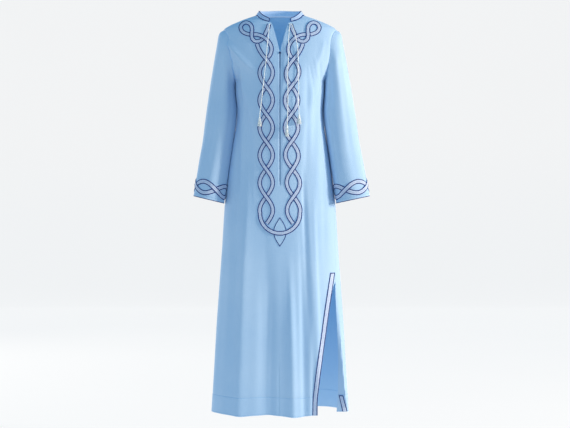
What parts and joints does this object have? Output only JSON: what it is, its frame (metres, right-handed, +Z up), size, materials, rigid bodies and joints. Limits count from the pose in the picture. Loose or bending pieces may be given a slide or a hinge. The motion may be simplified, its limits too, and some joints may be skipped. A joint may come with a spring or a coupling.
{
  "type": "kaftan dress",
  "caption": "Ankle-length cotton kaftan dress in worn form, with stand collar, V neck, long sleeves, interlaced braid down the front and round the cuffs, tasselled neck ties and side slit.",
  "frame": {"origin": "midway between the highest points of the two shoulder seams, at the base of the neck, where the dress hangs on its wearer", "axes": "+Z up, the front faces -Y, +X is the wearer's left"},
  "size_m": [0.601, 0.2877, 1.3813],
  "materials": {
    "cotton": "light blue plain-woven cotton, matt",
    "braid": "pale lavender blue braid with dark blue edges and a dotted middle stitch",
    "edging": "dark blue piping, matt",
    "cord": "white twisted cotton cord and thread",
    "hook": "dark blue enamel"
  },
  "bodies": {
    "root": {"front": "cotton", "back": "cotton", "sleeve_left": "cotton", "sleeve_right": "cotton", "collar": "cotton", "braid_left_1": "braid", "braid_left_2": "braid", "braid_right_1": "braid", "braid_right_2": "braid", "braid_foot": "braid", "braid_leaf": "braid", "cuff_left_1": "braid", "cuff_left_2": "braid", "cuff_right_1": "braid", "cuff_right_2": "braid", "slit_trim_front": "braid", "slit_trim_rear": "braid", "closure_tape": "cotton", "neck_hook": "hook", "tie_1": "cord", "tie_2": "cord", "tie_3": "cord", "tassel_1": "cord", "tassel_2": "cord", "tassel_3": "cord"}
  },
  "joints": []
}
